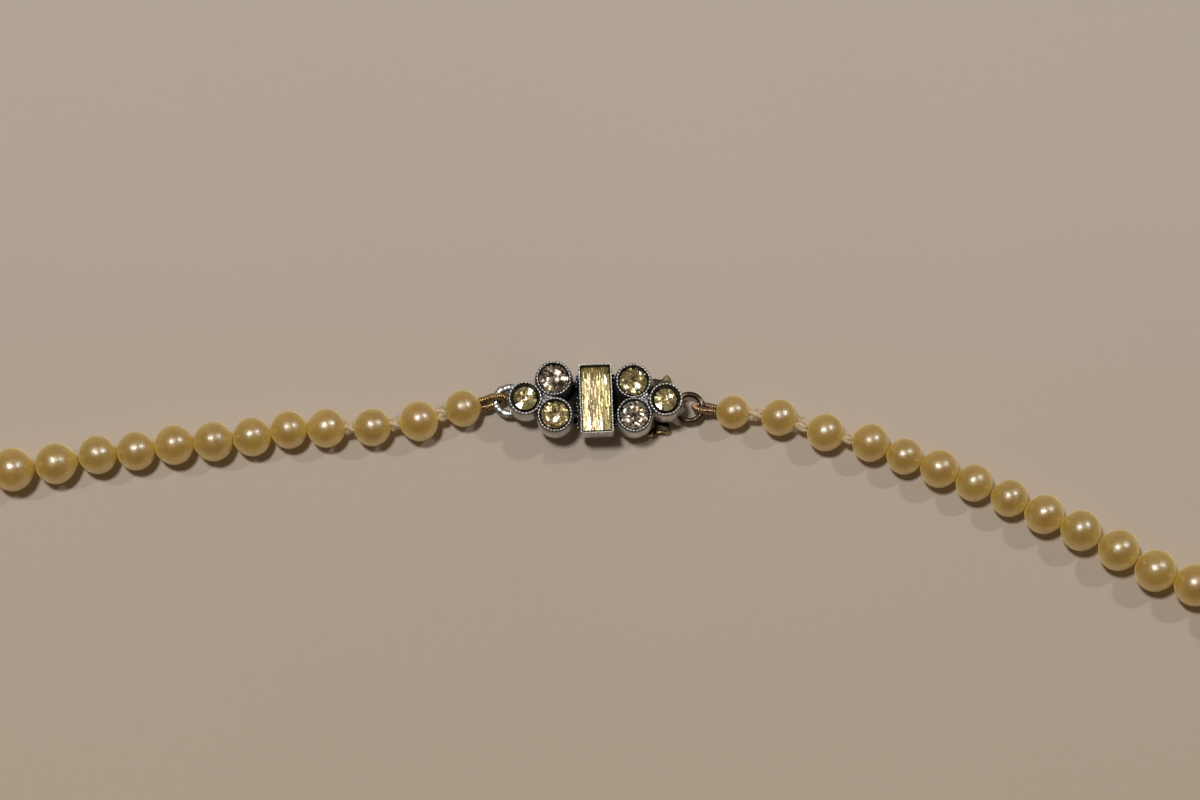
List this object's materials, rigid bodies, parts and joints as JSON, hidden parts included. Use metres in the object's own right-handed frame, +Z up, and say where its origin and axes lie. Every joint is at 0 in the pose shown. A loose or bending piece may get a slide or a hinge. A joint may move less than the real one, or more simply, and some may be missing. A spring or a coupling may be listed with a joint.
{
  "type": "graduated pearl necklace",
  "caption": "Graduated pearl necklace on knotted silk, closed by a box clasp set with round stones and a baguette, lying flat as a whole closed loop.",
  "frame": {"origin": "middle of the necklace's outline on the surface that it lies on", "axes": "+Z up from the surface, +X along the clasp towards the end that its tongue enters, +Y from the front pearls to the clasp"},
  "size_m": [0.1618, 0.1216, 0.0066],
  "materials": {
    "pearl": "lustrous cream to champagne nacre with faint rose and green overtones",
    "silk": "twisted cream silk, slightly fuzzy at the knots",
    "rhodium": "rhodium plate, bright on the milgrain edges, grey and tarnished in the recesses",
    "brass_tongue": "worn spring brass, dark with age and bright at the edges",
    "tarnished_ring": "tarnished jump ring, dark bronze with silver wear",
    "gimp_wire": "finely coiled gilt wire, darkened between its turns",
    "yellow_paste": "foil-backed pale yellow paste, cut and polished",
    "clear_paste": "foil-backed colourless paste, cut and polished"
  },
  "bodies": {
    "root": {"clasp_setting": "rhodium", "clasp_tongue": "brass_tongue", "baguette_stone": "yellow_paste", "round_stone_1": "yellow_paste", "round_stone_2": "clear_paste", "round_stone_3": "yellow_paste", "round_stone_4": "yellow_paste", "round_stone_5": "clear_paste", "round_stone_6": "yellow_paste", "ring_right": "tarnished_ring", "gimp_left": "gimp_wire", "gimp_right": "gimp_wire", "strand_left": "pearl", "strand_right": "pearl", "thread": "silk", "pearl_01": "pearl", "pearl_02": "pearl", "pearl_03": "pearl", "pearl_04": "pearl", "pearl_05": "pearl", "pearl_06": "pearl", "pearl_07": "pearl", "pearl_08": "pearl", "pearl_09": "pearl", "pearl_10": "pearl", "pearl_11": "pearl", "pearl_12": "pearl", "pearl_13": "pearl", "pearl_14": "pearl", "pearl_15": "pearl", "pearl_16": "pearl", "pearl_17": "pearl", "pearl_18": "pearl", "pearl_19": "pearl", "pearl_20": "pearl", "pearl_21": "pearl", "pearl_22": "pearl", "pearl_23": "pearl", "pearl_24": "pearl", "pearl_25": "pearl", "pearl_26": "pearl", "pearl_27": "pearl", "pearl_28": "pearl", "pearl_29": "pearl", "pearl_30": "pearl", "pearl_31": "pearl", "pearl_32": "pearl", "pearl_33": "pearl", "pearl_34": "pearl", "pearl_35": "pearl", "pearl_36": "pearl", "pearl_37": "pearl", "pearl_38": "pearl", "pearl_39": "pearl"}
  },
  "joints": []
}
